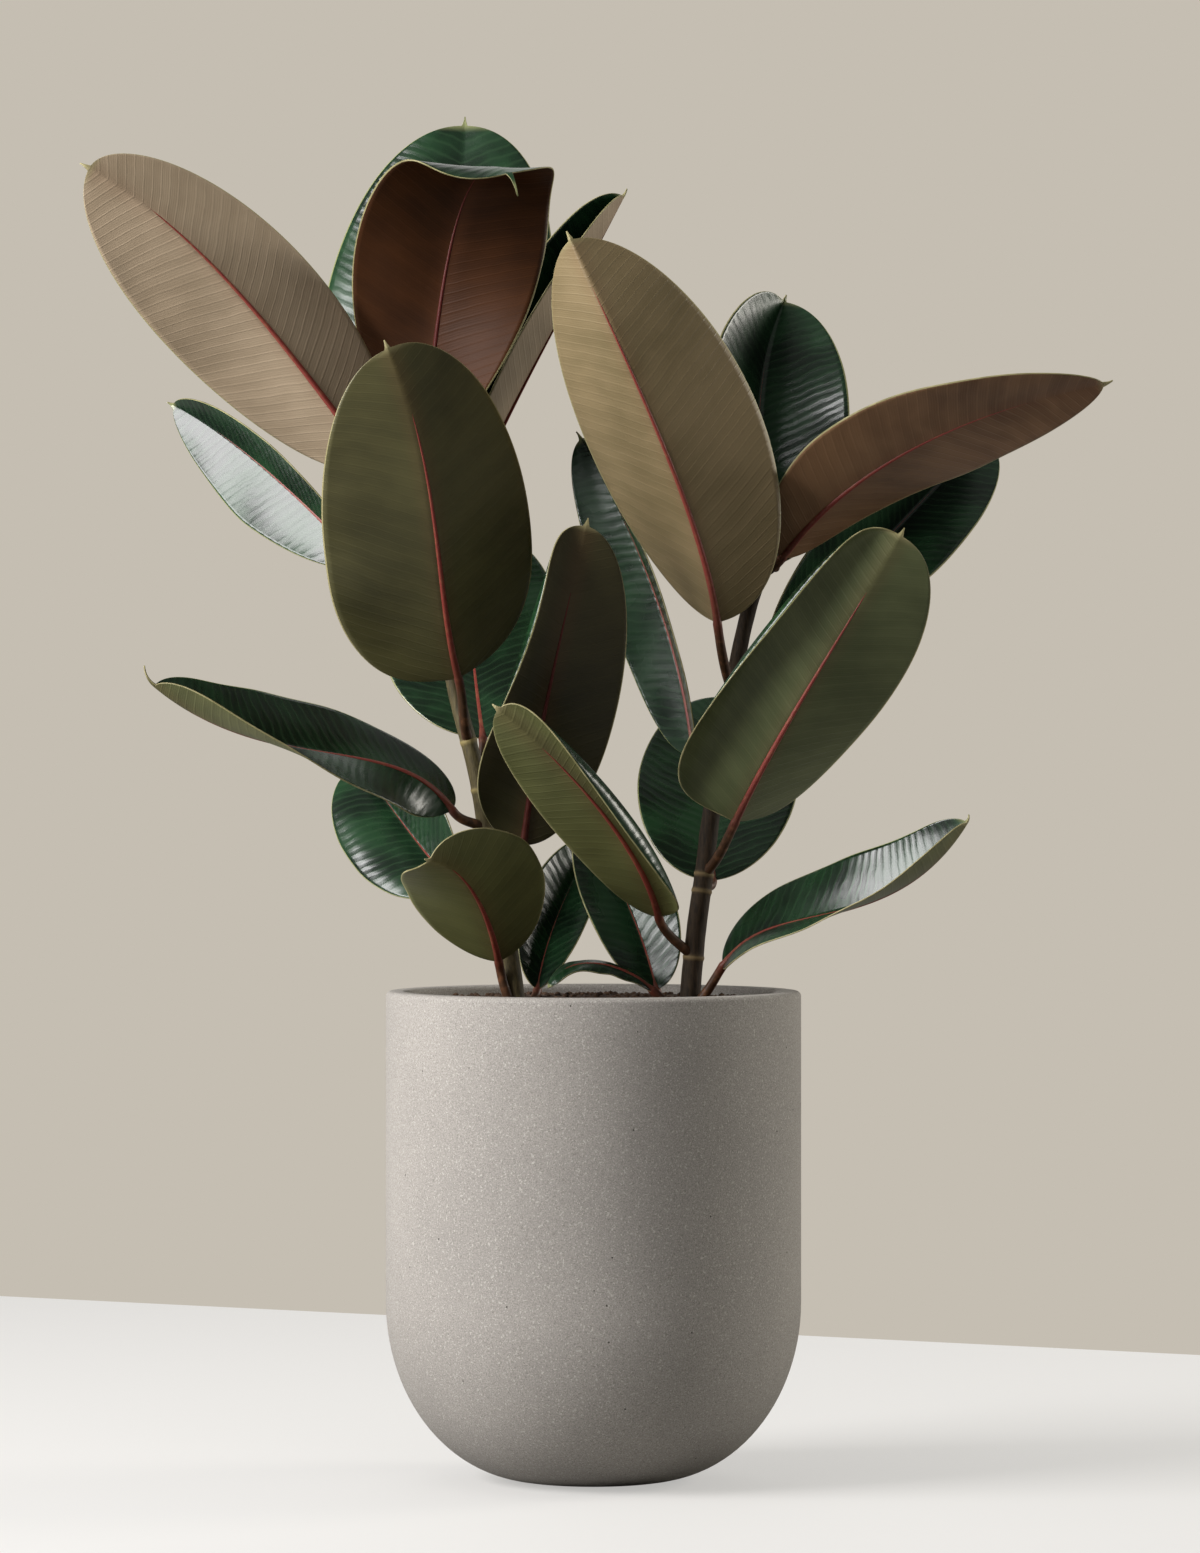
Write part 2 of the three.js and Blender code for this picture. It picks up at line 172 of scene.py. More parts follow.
class Effects:
    """The effects that more than one finish uses, each built once as a node group."""

    def __init__(self) -> None:
        """Builds the groups."""
        self.grain = self.build_grain()
        self.veins = self.build_veins()
        self.margin = self.build_margin()

    @staticmethod
    def start(
        name: str, inputs: dict[str, float | Colour | None], outputs: dict[str, str]
    ) -> tuple[Graph, bpy.types.bpy_prop_collection, bpy.types.bpy_prop_collection]:
        """Starts a group with its sockets.

        Args:
            name: The group's name.
            inputs: Each input's name and default; a colour is three numbers, None is a vector.
            outputs: Each output's name and socket type.

        Returns:
            The graph, its input sockets and its output sockets, by name.
        """
        tree = bpy.data.node_groups.new(name, "ShaderNodeTree")
        for label, default in inputs.items():
            kind = "Vector" if default is None else "Color" if isinstance(default, tuple) else "Float"
            socket = tree.interface.new_socket(label, in_out="INPUT", socket_type=f"NodeSocket{kind}")
            if default is not None:
                socket.default_value = (*default, 1.0) if kind == "Color" else default
        for label, kind in outputs.items():
            tree.interface.new_socket(label, in_out="OUTPUT", socket_type=f"NodeSocket{kind}")
        graph = Graph(tree)
        ins = graph.add("NodeGroupInput").outputs
        outs = graph.add("NodeGroupOutput").inputs
        return graph, ins, outs

    def build_grain(self) -> bpy.types.NodeTree:
        """Fine grain over broad clouds: a colour and a height."""
        graph, ins, outs = self.start(
            "fine_grain",
            {
                "Place": None, "Scale": 900.0, "Cloud Scale": 14.0,
                "Dark": (0.2, 0.2, 0.2), "Light": (0.4, 0.4, 0.4),
            },
            {"Color": "Color", "Height": "Float", "Cloud": "Float"},
        )
        fine = graph.noise(ins["Place"], ins["Scale"], 4.0, 0.7)
        cloud = graph.noise(ins["Place"], ins["Cloud Scale"], 3.0, 0.55)
        mixed = graph.math("ADD", graph.math("MULTIPLY", fine, 0.75), graph.math("MULTIPLY", cloud, 0.25))
        graph.feed(outs["Color"], graph.blend(graph.span(mixed, 0.3, 0.7), ins["Dark"], ins["Light"]))
        graph.feed(outs["Height"], fine)
        graph.feed(outs["Cloud"], cloud)
        return graph.tree

    def build_veins(self) -> bpy.types.NodeTree:
        """Side veins that leave the midrib and lean towards the tip, from the lay in metres."""
        graph, ins, outs = self.start(
            "leaf_veins",
            {"Pitch": 0.006, "Slant": 0.3, "Wander": 0.0015, "Sharpness": 4.0},
            {"Line": "Float", "Swell": "Float", "Near Rib": "Float"},
        )
        lay = graph.add("ShaderNodeUVMap", uv_map="lay").outputs[0]
        split = graph.add("ShaderNodeSeparateXYZ")
        graph.feed(split.inputs[0], lay)
        across = graph.math("ABSOLUTE", split.outputs[0])
        sway = graph.math("SUBTRACT", graph.noise(lay, 45.0, 2.0), 0.5)
        drift = graph.math("MULTIPLY", graph.math("MULTIPLY", sway, ins["Wander"]), 4.0)
        along = graph.math("SUBTRACT", split.outputs[1], graph.math("MULTIPLY", across, ins["Slant"]))
        phase = graph.math("DIVIDE", graph.math("ADD", along, drift), ins["Pitch"])
        wave = graph.math("SINE", graph.math("MULTIPLY", phase, math.tau))
        swell = graph.math("MULTIPLY_ADD", wave, 0.5, 0.5)
        graph.feed(outs["Line"], graph.math("POWER", swell, ins["Sharpness"]))
        graph.feed(outs["Swell"], swell)
        graph.feed(outs["Near Rib"], graph.span(across, 0.0, 0.012, (1.0, 0.0)))
        return graph.tree

    def build_margin(self) -> bpy.types.NodeTree:
        """The leaf's thin pale margin, and how near the tip a place is."""
        graph, ins, outs = self.start(
            "leaf_margin",
            {"Start": 0.975},
            {"Mask": "Float", "Tip": "Float"},
        )
        split = graph.add("ShaderNodeSeparateXYZ")
        graph.feed(split.inputs[0], graph.add("ShaderNodeUVMap", uv_map="share").outputs[0])
        across = graph.math("ABSOLUTE", split.outputs[0])
        graph.feed(outs["Mask"], graph.math("GREATER_THAN", across, ins["Start"]))
        graph.feed(outs["Tip"], graph.span(split.outputs[1], 0.955, 0.985))
        return graph.tree


@dataclass(frozen=True)
class Finish:
    """A finish of the plant or its pot: the plain values of its shader."""

    name: str
    roughness: float = 0.5
    bump: float = 0.3
    bump_depth: float = 0.0004
    shine: float = 0.3

    def start(self) -> tuple[bpy.types.Material, Graph, bpy.types.Node]:
        """Makes the material and returns it with its graph and its shader."""
        material = bpy.data.materials.new(self.name)
        material.use_nodes = True
        graph = Graph(material.node_tree)
        shader = material.node_tree.nodes["Principled BSDF"]
        shader.inputs["Roughness"].default_value = self.roughness
        shader.inputs["Specular IOR Level"].default_value = self.shine
        return material, graph, shader

    def emboss(self, graph: Graph, shader: bpy.types.Node, height: Socket) -> None:
        """Feeds a height into the shader's normal through a Bump node."""
        node = graph.add("ShaderNodeBump")
        node.inputs["Strength"].default_value = self.bump
        node.inputs["Distance"].default_value = self.bump_depth
        graph.feed(node.inputs["Height"], height)
        graph.feed(shader.inputs["Normal"], node.outputs[0])


@dataclass(frozen=True)
class Stoneware(Finish):
    """Matt stoneware with fine speckle, soft clouds and a few pin-holes, whose dark inside is painted shade.
    """

    dark: Colour = tint(134, 130, 125)
    light: Colour = tint(175, 170, 163)
    # The colour of the painted shade inside the pin-holes.
    pit_shade: Colour = tint(60, 56, 50)
    fleck: Colour = tint(112, 108, 101)
    glint: Colour = tint(200, 196, 188)

    def make(self, effects: Effects) -> bpy.types.Material:
        """Builds the material.

        Args:
            effects: The shared node groups.

        Returns:
            The material.
        """
        material, graph, shader = self.start()
        place = graph.add("ShaderNodeTexCoord").outputs["Object"]
        grain = graph.group(
            effects.grain, place=place, scale=1500.0, cloud_scale=7.0, dark=self.dark, light=self.light
        )
        cells = graph.add("ShaderNodeTexVoronoi", feature="F1")
        graph.feed(cells.inputs["Vector"], place)
        cells.inputs["Scale"].default_value = 82.0
        # The pin-holes: dented by the bump, and darkened inside with painted shade.
        holes = graph.span(cells.outputs["Distance"], 0.035, 0.055, (1.0, 0.0))
        pits = graph.math("MULTIPLY", holes, graph.span(cells.outputs["Color"], 0.42, 0.47))
        fleck = graph.span(graph.noise(place, 1200.0, 2.0), 0.54, 0.66, (0.0, 0.55))
        shaded = graph.blend(fleck, grain.outputs["Color"], self.fleck)
        glint = graph.span(graph.noise(place, 830.0, 2.0), 0.60, 0.68, (0.0, 0.6))
        speckled = graph.blend(glint, shaded, self.glint)
        graph.feed(shader.inputs["Base Color"], graph.blend(pits, speckled, self.pit_shade))
        graph.feed(shader.inputs["Roughness"], graph.span(grain.outputs["Cloud"], 0.3, 0.7, (0.72, 0.88)))
        height = graph.math("SUBTRACT", grain.outputs["Height"], pits)
        self.emboss(graph, shader, height)
        return material


@dataclass(frozen=True)
class Soil(Finish):
    """Dark potting soil."""

    dark: Colour = tint(34, 24, 18)
    light: Colour = tint(92, 70, 52)

    def make(self, effects: Effects) -> bpy.types.Material:
        """Builds the material from the shared effects."""
        material, graph, shader = self.start()
        place = graph.add("ShaderNodeTexCoord").outputs["Object"]
        grain = graph.group(
            effects.grain, place=place, scale=260.0, cloud_scale=30.0, dark=self.dark, light=self.light
        )
        graph.feed(shader.inputs["Base Color"], grain.outputs["Color"])
        self.emboss(graph, shader, grain.outputs["Height"])
        return material


@dataclass(frozen=True)
class Bark(Finish):
    """Stem bark: brown-green skin with fine furrows and pale rings at the nodes."""

    dark: Colour = tint(54, 46, 30)
    light: Colour = tint(100, 90, 58)
    ring: Colour = tint(158, 142, 92)

    def make(self, effects: Effects) -> bpy.types.Material:
        """Builds the material from the shared effects."""
        material, graph, shader = self.start()
        coords = graph.add("ShaderNodeTexCoord")
        turn = graph.add("ShaderNodeMapping")
        turn.inputs["Scale"].default_value = (1.0, 1.0, 0.18)
        graph.feed(turn.inputs["Vector"], coords.outputs["Object"])
        place = turn.outputs[0]
        grain = graph.group(
            effects.grain, place=place, scale=700.0, cloud_scale=60.0, dark=self.dark, light=self.light
        )
        rings = graph.add("ShaderNodeAttribute", attribute_name="ring").outputs["Fac"]
        graph.feed(shader.inputs["Base Color"], graph.blend(rings, grain.outputs["Color"], self.ring))
        self.emboss(graph, shader, grain.outputs["Height"])
        return material


@dataclass(frozen=True)
class Rib(Finish):
    """The red midrib under a leaf, and its petiole."""

    base: Colour = tint(66, 44, 27)
    tip: Colour = tint(128, 54, 46)
    pale: Colour = tint(142, 96, 66)

    def make(self, effects: Effects) -> bpy.types.Material:
        """Builds the material from the shared effects."""
        material, graph, shader = self.start()
        place = graph.add("ShaderNodeTexCoord").outputs["Object"]
        split = graph.add("ShaderNodeSeparateXYZ")
        graph.feed(split.inputs[0], graph.add("ShaderNodeUVMap", uv_map="share").outputs[0])
        along = graph.span(split.outputs[1], 0.22, 0.45)
        streaks = graph.noise(place, 220.0, 3.0)
        body = graph.blend(along, self.base, self.tip)
        streaked = graph.blend(graph.span(streaks, 0.45, 0.8, (0.0, 0.5)), body, self.pale)
        graph.feed(shader.inputs["Base Color"], streaked)
        self.emboss(graph, shader, streaks)
        return material


@dataclass(frozen=True)
class GlossyFace(Finish):
    """The glossy dark green upper face, ribbed by its side veins."""

    dark: Colour = tint(10, 27, 15)
    light: Colour = tint(24, 56, 30)
    line: Colour = tint(52, 80, 52)
    margin: Colour = tint(140, 144, 98)

    def make(self, effects: Effects) -> bpy.types.Material:
        """Builds the material.

        Args:
            effects: The shared node groups.

        Returns:
            The material.
        """
        material, graph, shader = self.start()
        place = graph.add("ShaderNodeTexCoord").outputs["Object"]
        veins = graph.group(effects.veins, pitch=0.0064, slant=0.38, wander=0.0022, sharpness=5.0)
        fine = graph.group(effects.veins, pitch=0.0021, slant=0.38, wander=0.0015, sharpness=2.0)
        edge = graph.group(effects.margin, start=0.988)
        cloud = graph.noise(place, 26.0, 3.0)
        green = graph.blend(graph.span(cloud, 0.35, 0.68), self.dark, self.light)
        veined = graph.blend(graph.math("MULTIPLY", veins.outputs["Line"], 0.25), green, self.line)
        border = graph.math("MAXIMUM", edge.outputs["Mask"], edge.outputs["Tip"])
        trimmed = graph.blend(border, veined, self.margin)
        graph.feed(shader.inputs["Base Color"], trimmed)
        rough = graph.math("MULTIPLY_ADD", cloud, 0.16, self.roughness - 0.08)
        graph.feed(shader.inputs["Roughness"], rough)
        ribs = graph.math("MULTIPLY_ADD", fine.outputs["Swell"], 0.12, veins.outputs["Swell"])
        dents = graph.math("MULTIPLY", graph.noise(place, 60.0, 2.0), 0.45)
        self.emboss(graph, shader, graph.math("ADD", ribs, dents))
        return material


@dataclass(frozen=True)
class Underside(Finish):
    """The satin underside, with fine side veins, a pale margin and soft bands of painted shade along the
    ribbing.
    """

    dark: Colour = tint(96, 82, 62)
    light: Colour = tint(140, 122, 98)
    line: Colour = tint(160, 142, 116)
    margin: Colour = tint(150, 142, 102)

    def make(self, effects: Effects) -> bpy.types.Material:
        """Builds the material.

        Args:
            effects: The shared node groups.

        Returns:
            The material.
        """
        material, graph, shader = self.start()
        place = graph.add("ShaderNodeTexCoord").outputs["Object"]
        veins = graph.group(effects.veins, pitch=0.0061, slant=0.45, wander=0.0005, sharpness=14.0)
        fine = graph.group(effects.veins, pitch=0.0015, slant=0.45, wander=0.0004, sharpness=3.0)
        # Broad soft bands along the side veins: painted shade of the ribbed blade, mixed into the skin colour.
        rib_shade_bands = graph.group(effects.veins, pitch=0.019, slant=0.4, wander=0.006, sharpness=1.0)
        edge = graph.group(effects.margin, start=0.988)
        cloud = graph.noise(place, 9.0, 3.0, 0.55)
        tone = graph.math("MULTIPLY_ADD", rib_shade_bands.outputs["Swell"], 0.06, graph.math("MULTIPLY", cloud, 0.94))
        skin = graph.blend(graph.span(tone, 0.25, 0.75), self.dark, self.light)
        main_lines = graph.math("MULTIPLY", veins.outputs["Line"], 0.12)
        lines = graph.math("MULTIPLY_ADD", fine.outputs["Line"], 0.10, main_lines)
        veined = graph.blend(lines, skin, self.line)
        warm = graph.blend(graph.math("MULTIPLY", veins.outputs["Near Rib"], 0.12), veined, tint(120, 74, 50))
        border = graph.math("MAXIMUM", edge.outputs["Mask"], edge.outputs["Tip"])
        trimmed = graph.blend(border, warm, self.margin)
        graph.feed(shader.inputs["Base Color"], trimmed)
        graph.feed(shader.inputs["Roughness"], graph.math("MULTIPLY_ADD", cloud, 0.2, self.roughness - 0.1))
        relief = graph.math("MULTIPLY_ADD", fine.outputs["Swell"], 0.2, veins.outputs["Line"])
        self.emboss(graph, shader, relief)
        return material


@dataclass(frozen=True)
class Plain(Finish):
    """A surface of one soft colour with faint mottling."""

    dark: Colour = tint(150, 150, 96)
    light: Colour = tint(190, 186, 132)
    scale: float = 120.0

    def make(self, effects: Effects) -> bpy.types.Material:
        """Builds the material from the shared effects."""
        material, graph, shader = self.start()
        place = graph.add("ShaderNodeTexCoord").outputs["Object"]
        mottle = graph.noise(place, self.scale, 3.0)
        skin = graph.blend(graph.span(mottle, 0.3, 0.7), self.dark, self.light)
        graph.feed(shader.inputs["Base Color"], skin)
        self.emboss(graph, shader, mottle)
        return material


UNDERSIDES = {
    Tone.TAUPE: Underside(
        "underside_taupe", 0.5,
        dark=tint(136, 119, 96), light=tint(172, 153, 128), line=tint(188, 170, 144),
    ),
    Tone.HAZEL: Underside(
        "underside_hazel", 0.46,
        dark=tint(99, 87, 57), light=tint(137, 120, 88), line=tint(153, 136, 102),
    ),
    Tone.OLIVE: Underside(
        "underside_olive", 0.46,
        dark=tint(72, 75, 42), light=tint(104, 106, 64), line=tint(120, 120, 80),
    ),
    Tone.SAGE: Underside(
        "underside_sage", 0.46,
        dark=tint(72, 79, 48), light=tint(104, 110, 74), line=tint(120, 125, 88),
    ),
    Tone.MOSS: Underside(
        "underside_moss", 0.46,
        dark=tint(58, 56, 31), light=tint(88, 84, 50), line=tint(102, 98, 64),
    ),
    # Painted shade: a darkened olive for a leaf that lies deep in shadow.
    Tone.SHADE: Underside(
        "underside_shade", 0.46,
        dark=tint(46, 43, 24), light=tint(68, 63, 38), line=tint(80, 74, 48),
    ),
    # A dark brown underside, darkened further with painted shade for a leaf that lies in shadow.
    Tone.UMBER: Underside(
        "underside_umber", 0.5, shine=0.12,
        dark=tint(40, 22, 10), light=tint(72, 41, 18), line=tint(82, 50, 27),
    ),
    Tone.RUSSET: Underside(
        "underside_russet", 0.42,
        dark=tint(78, 51, 29), light=tint(140, 106, 76), line=tint(152, 118, 88),
    ),
}

# The tones that paint shade; their leaves also get the midrib darkened with painted shade.
SHADED_TONES = (Tone.UMBER, Tone.SHADE)


class Palette:
    """Every material of the plant, built once."""

    def __init__(self) -> None:
        """Builds the shared effects and the materials."""
        effects = Effects()
        self.stoneware = Stoneware("stoneware", 0.8, 0.5, 0.0004).make(effects)
        self.soil = Soil("soil", 0.95, 0.8, 0.002).make(effects)
        self.bark = {
            Side.LEFT: Bark("bark_young", 0.6, 0.5, 0.0006).make(effects),
            Side.RIGHT: Bark(
                "bark_old", 0.75, 0.5, 0.0007, 0.25,
                dark=tint(26, 20, 13), light=tint(60, 47, 32), ring=tint(120, 102, 70),
            ).make(effects),
        }
        self.rib = Rib("midrib_red", 0.45, 0.2, 0.0002).make(effects)
        # The midrib of the shaded leaves: the red darkened with painted shade.
        self.shaded_rib = Rib(
            "midrib_shaded", 0.45, 0.2, 0.0002,
            base=tint(62, 36, 24), tip=tint(86, 27, 22), pale=tint(100, 52, 40),
        ).make(effects)
        self.glossy = GlossyFace("glossy_face", 0.26, 0.2, 0.0005, 0.46).make(effects)
        rim = Plain("leaf_rim", 0.5, 0.1, dark=tint(122, 116, 78), light=tint(160, 152, 112))
        self.rim = rim.make(effects)
        sheath = Plain("bud_sheath", 0.45, 0.3, dark=tint(74, 34, 34), light=tint(120, 70, 52))
        self.sheath = sheath.make(effects)
        self.undersides = {tone: finish.make(effects) for tone, finish in UNDERSIDES.items()}


# ---- Building pieces -------------------------------------------------------------


def shown_piece(
    name: str, shape: bmesh.types.BMesh, replaces: str | None, materials: list[bpy.types.Material]
) -> bpy.types.Object:
    """Turns a finished bmesh into a piece of the plant.

    Args:
        name: The piece's name.
        shape: The shape, in place, in metres. It is freed.
        replaces: The CAD node that the piece stands for, if any.
        materials: The materials, in the order of the faces' indices.

    Returns:
        The piece, riding on the root body.
    """
    mesh = bpy.data.meshes.new(name)
    shape.to_mesh(mesh)
    shape.free()
    for material in materials:
        mesh.materials.append(material)
    mesh.polygons.foreach_set("use_smooth", [True] * len(mesh.polygons))
    piece = bpy.data.objects.new(name, mesh)
    bpy.context.scene.collection.objects.link(piece)
    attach(piece, "root")
    if replaces:
        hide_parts(replaces)
    LOG.info("%s: %d faces", name, len(mesh.polygons))
    return piece


class Track:
    """A curve through sampled points, read by its share of the length."""

    def __init__(self, points: list[Vector]) -> None:
        """Measures the length up to each point."""
        self.points = points
        self.lengths = [0.0]
        for before, after in zip(points, points[1:]):
            self.lengths.append(self.lengths[-1] + (after - before).length)

    @property
    def length(self) -> float:
        """The whole length."""
        return self.lengths[-1]

    def at(self, share: float) -> Vector:
        """The point at a share of the length."""
        target = max(0.0, min(1.0, share)) * self.length
        low, high = 0, len(self.lengths) - 1
        while high - low > 1:
            middle = (low + high) // 2
            low, high = (middle, high) if self.lengths[middle] <= target else (low, middle)
        gap = self.lengths[high] - self.lengths[low]
        return self.points[low].lerp(self.points[high], (target - self.lengths[low]) / gap if gap else 0.0)

    def tangent(self, share: float) -> Vector:
        """The direction at a share of the length."""
        return (self.at(share + 0.004) - self.at(share - 0.004)).normalized()


def four_point_track(corners: list[Vector]) -> Track:
    """A cubic that passes through four points spaced evenly along it."""

    def weights(t: float) -> tuple[float, float, float, float]:
        """The share of each point at t."""
        a, b, c = t - 1 / 3, t - 2 / 3, t - 1
        return -4.5 * a * b * c, 13.5 * t * b * c, -13.5 * t * a * c, 4.5 * t * a * b

    points = []
    for i in range(161):
        shares = weights(i / 160)
        points.append(sum((corner * share for corner, share in zip(corners, shares)), Vector()))
    return Track(points)


def tube(
    rows: int, sides: int, place: Callable[[float, float], Vector], values: dict[str, Callable[[float], float]]
) -> bmesh.types.BMesh:
    """A closed tube, shaped from a grid whose long edges are joined.

    Args:
        rows: Steps along the tube.
        sides: Steps round it.
        place: Gives the point for a share along and an angle round.
        values: For each float attribute's name, its value for a share along.

    Returns:
        The tube, with the UV layer "share" holding the share round and along.
    """
    shape = bmesh.new()
    bmesh.ops.create_grid(shape, x_segments=sides, y_segments=rows, size=0.5)
    share = shape.loops.layers.uv.new("share")
    layers = {name: shape.verts.layers.float.new(name) for name in values}
    for face in shape.faces:
        for loop in face.loops:
            loop[share].uv = (loop.vert.co.x + 0.5, loop.vert.co.y + 0.5)
    for vertex in shape.verts:
        along, angle = vertex.co.y + 0.5, math.tau * (vertex.co.x + 0.5)
        for name, value in values.items():
            vertex[layers[name]] = value(along)
        vertex.co = place(along, angle)
    bmesh.ops.remove_doubles(shape, verts=shape.verts, dist=1e-6)
    bmesh.ops.holes_fill(shape, edges=[edge for edge in shape.edges if edge.is_boundary], sides=0)
    bmesh.ops.recalc_face_normals(shape, faces=shape.faces)
    return shape


# ---- Pot and soil ------------------------------------------------------------------


@dataclass
class Pot:
    """A straight stoneware pot on a rounded bottom, with a softly rounded lip."""

    wall: float = 13 * MM
    floor: float = 16 * MM
    base_radius: float = 37 * MM
    corner_height: float = 107 * MM
    lip: float = 3.2 * MM
    steps: int = 144

    def __post_init__(self) -> None:
        """Takes the outer size from the CAD pot."""
        low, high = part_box("pot")
        self.radius = (high.x - low.x) / 2
        self.height = high.z

    @staticmethod
    def arc(centre: Pair, radii: Pair, start: float, end: float, steps: int) -> list[Vector]:
        """Points along a quarter of an ellipse in the pot's profile plane."""
        points = []
        for i in range(steps + 1):
            angle = math.radians(start + (end - start) * i / steps)
            x = centre[0] + radii[0] * math.cos(angle)
            points.append(Vector((x, 0, centre[1] + radii[1] * math.sin(angle))))
        return points

    def profile(self) -> list[Vector]:
        """The pot's half section, from the middle of the base up, over the lip and down inside."""
        inner = self.radius - self.wall
        flat = self.base_radius - self.wall / 2
        outer_radii = (self.radius - self.base_radius, self.corner_height)
        outside = self.arc((self.base_radius, self.corner_height), outer_radii, -90, 0, 28)
        inner_radii = (inner - flat, self.corner_height - self.floor)
        inside = self.arc((flat, self.corner_height), inner_radii, 0, -90, 14)
        top = self.height - self.lip
        rise = (top - self.corner_height) / 9
        wall = [Vector((self.radius, 0, self.corner_height + rise * i)) for i in range(1, 9)]
        edge = self.arc((self.radius - self.lip, top), (self.lip, self.lip), 0, 90, 6)
        edge += self.arc((inner + self.lip, top), (self.lip, self.lip), 90, 180, 6)
        return [Vector(), *outside, *wall, *edge, *inside, Vector((0, 0, self.floor))]

    def build(self, palette: Palette) -> bpy.types.Object:
        """Spins the section into the pot and dresses it."""
        shape = bmesh.new()
        corners = [shape.verts.new(point) for point in self.profile()]
        for a, b in zip(corners, corners[1:]):
            shape.edges.new((a, b))
        bmesh.ops.spin(
            shape, geom=[*shape.verts, *shape.edges], axis=(0, 0, 1), cent=(0, 0, 0),
            angle=math.tau, steps=self.steps, use_merge=True,
        )
        bmesh.ops.remove_doubles(shape, verts=shape.verts, dist=1e-5)
        bmesh.ops.recalc_face_normals(shape, faces=shape.faces)
        return shown_piece("pot_shell", shape, "pot", [palette.stoneware])


@dataclass
class SoilBed:
    """Loose soil that fills the pot, with crumbs lying on it."""

    mound: float = 3.0 * MM
    relief: float = 1.6 * MM
    cells: int = 90
    crumbs: int = 420
    depth: float = 40 * MM

    def __post_init__(self) -> None:
        """Takes the size from the CAD soil."""
        low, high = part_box("soil")
        self.radius = (high.x - low.x) / 2 - 0.2 * MM
        self.level = high.z - 4 * MM

    def height(self, x: float, y: float) -> float:
        """The soil's height at a place."""
        reach = math.hypot(x, y) / self.radius
        rough = noise.fractal(Vector((x, y, 0.0)) * 90, 1.0, 2.0, 5)
        return self.level + self.mound * (1 - reach**2) + self.relief * (0.6 * rough - 0.3)

    def build_surface(self, palette: Palette) -> bpy.types.Object:
        """The bed itself: a round crusty surface on a plain plug."""
        shape = bmesh.new()
        bmesh.ops.create_grid(shape, x_segments=self.cells, y_segments=self.cells, size=1.0)
        for vertex in shape.verts:
            x, y, _ = vertex.co
            round_x = x * math.sqrt(1 - y * y / 2) * self.radius
            round_y = y * math.sqrt(1 - x * x / 2) * self.radius
            vertex.co = (round_x, round_y, self.height(round_x, round_y))
        rim = [edge for edge in shape.edges if edge.is_boundary]
        skirt = bmesh.ops.extrude_edge_only(shape, edges=rim)["geom"]
        for part in skirt:
            if isinstance(part, bmesh.types.BMVert):
                part.co.z = self.level - self.depth
        bmesh.ops.holes_fill(shape, edges=[edge for edge in shape.edges if edge.is_boundary], sides=0)
        bmesh.ops.recalc_face_normals(shape, faces=shape.faces)
        return shown_piece("soil_bed", shape, "soil", [palette.soil])

    def build_crumbs(self, palette: Palette) -> bpy.types.Object:
        """Small lumps scattered over the bed."""
        rng = random.Random(11)
        shape = bmesh.new()
        for _ in range(self.crumbs):
            reach = (self.radius - 4 * MM) * math.sqrt(rng.random())
            angle = rng.uniform(0, math.tau)
            x, y = reach * math.cos(angle), reach * math.sin(angle)
            size = rng.uniform(0.8, 2.4) * MM
            squash = Matrix.Diagonal((1, rng.uniform(0.6, 1), rng.uniform(0.5, 0.9), 1))
            spin = Matrix.Rotation(rng.uniform(0, math.tau), 4, "Z")
            place = Matrix.Translation((x, y, self.height(x, y) + size * 0.2)) @ spin @ squash
            bmesh.ops.create_icosphere(shape, subdivisions=1, radius=size, matrix=place)
        return shown_piece("soil_crumbs", shape, None, [palette.soil])

    def build(self, palette: Palette) -> None:
        """Builds the bed and its crumbs."""
        self.build_surface(palette)
        self.build_crumbs(palette)


# ---- Stems -----------------------------------------------------------------------------


